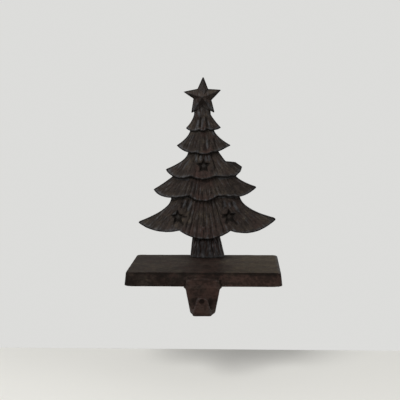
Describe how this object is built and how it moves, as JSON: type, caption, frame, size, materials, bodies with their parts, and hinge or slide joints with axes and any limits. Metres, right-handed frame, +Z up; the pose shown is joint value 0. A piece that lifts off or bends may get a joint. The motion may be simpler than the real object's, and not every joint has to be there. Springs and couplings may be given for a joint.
{
  "type": "mantel stocking holder",
  "caption": "Cast iron mantel stocking holder: a drafted base that rests on the shelf, a flat J hook on its front edge, and a tiered fir tree with stars standing at the back.",
  "frame": {"origin": "centre of the base's underside, in the plane that rests on the shelf; the hook hangs below this plane in front of the shelf's edge", "axes": "+Z up through the tree, -Y to the front where the hook is, +X to the right seen from the front"},
  "size_m": [0.1216, 0.1016, 0.1797],
  "materials": {
    "base_iron": "antique brown-black, satin, with sand-cast grain",
    "tree_iron": "antique brown-black, satin, rubbed paler along the ridges",
    "screw_steel": "zinc plated"
  },
  "bodies": {
    "root": {"base_with_hook": "base_iron", "tree_casting": "tree_iron", "fixing_screw": "screw_steel"}
  },
  "joints": []
}
